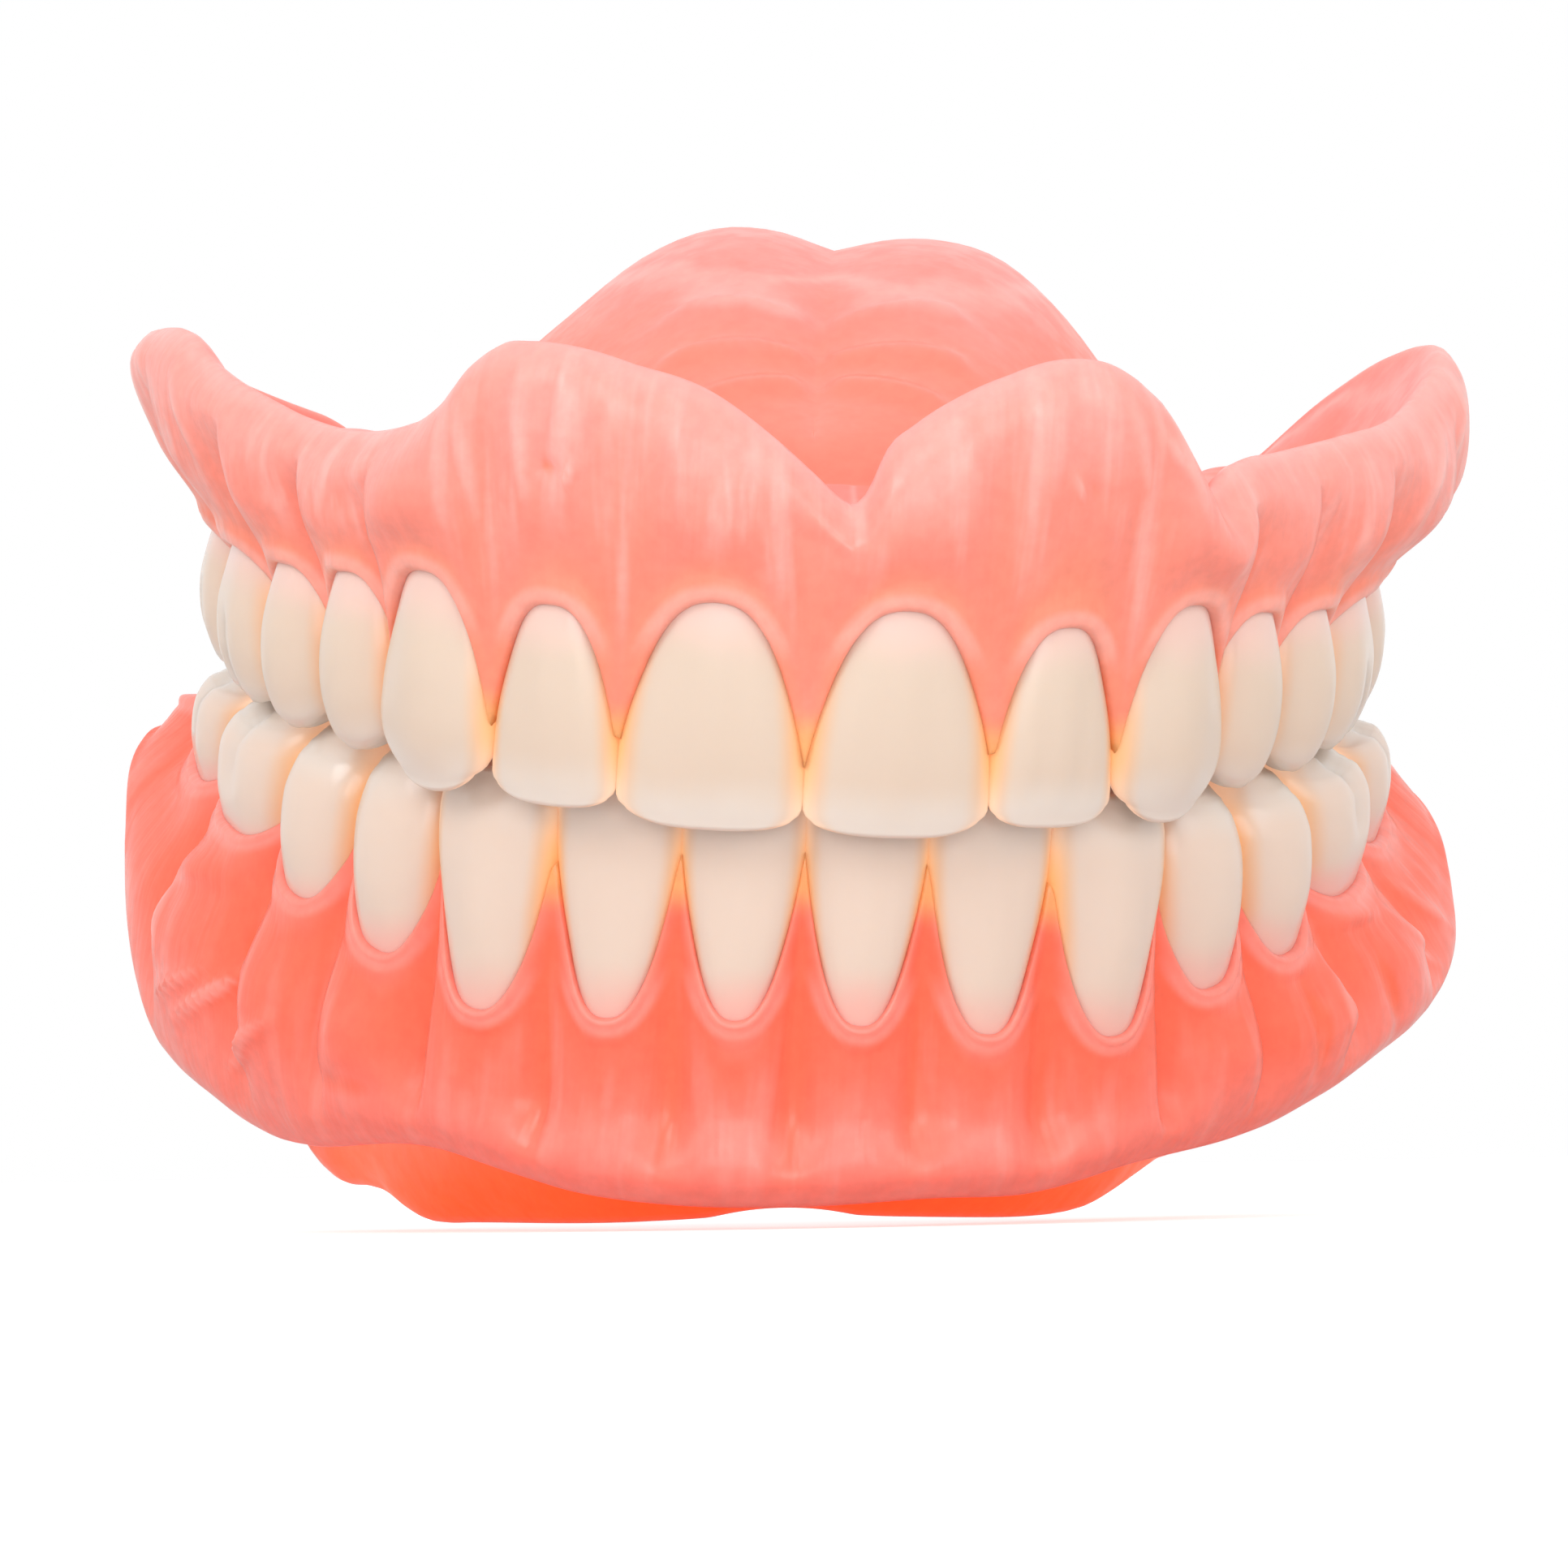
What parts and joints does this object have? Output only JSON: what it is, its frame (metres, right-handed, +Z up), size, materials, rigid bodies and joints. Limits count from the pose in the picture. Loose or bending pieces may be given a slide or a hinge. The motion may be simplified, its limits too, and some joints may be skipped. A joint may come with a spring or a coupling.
{
  "type": "full denture",
  "caption": "Upper and lower full dentures closed in bite: pink acrylic bases with ivory teeth, a palate plate above and a horseshoe base below.",
  "frame": {"origin": "centre of the bounding box in X and Y, on the surface that the pair stands on", "axes": "+X to the wearer's left, +Y from the front teeth to the back of the mouth, +Z up; the bite plane rises towards the back"},
  "size_m": [0.0714, 0.056, 0.0521],
  "materials": {
    "base_acrylic": "polished",
    "tooth_acrylic": "polished"
  },
  "bodies": {
    "root": {"upper_base": "base_acrylic", "lower_base": "base_acrylic", "upper_right_central_incisor": "tooth_acrylic", "upper_left_central_incisor": "tooth_acrylic", "upper_right_lateral_incisor": "tooth_acrylic", "upper_left_lateral_incisor": "tooth_acrylic", "upper_right_canine": "tooth_acrylic", "upper_left_canine": "tooth_acrylic", "upper_right_first_premolar": "tooth_acrylic", "upper_left_first_premolar": "tooth_acrylic", "upper_right_second_premolar": "tooth_acrylic", "upper_left_second_premolar": "tooth_acrylic", "upper_right_first_molar": "tooth_acrylic", "upper_left_first_molar": "tooth_acrylic", "upper_right_second_molar": "tooth_acrylic", "upper_left_second_molar": "tooth_acrylic", "lower_right_central_incisor": "tooth_acrylic", "lower_left_central_incisor": "tooth_acrylic", "lower_right_lateral_incisor": "tooth_acrylic", "lower_left_lateral_incisor": "tooth_acrylic", "lower_right_canine": "tooth_acrylic", "lower_left_canine": "tooth_acrylic", "lower_right_first_premolar": "tooth_acrylic", "lower_left_first_premolar": "tooth_acrylic", "lower_right_second_premolar": "tooth_acrylic", "lower_left_second_premolar": "tooth_acrylic", "lower_right_first_molar": "tooth_acrylic", "lower_left_first_molar": "tooth_acrylic", "lower_right_second_molar": "tooth_acrylic", "lower_left_second_molar": "tooth_acrylic"}
  },
  "joints": []
}
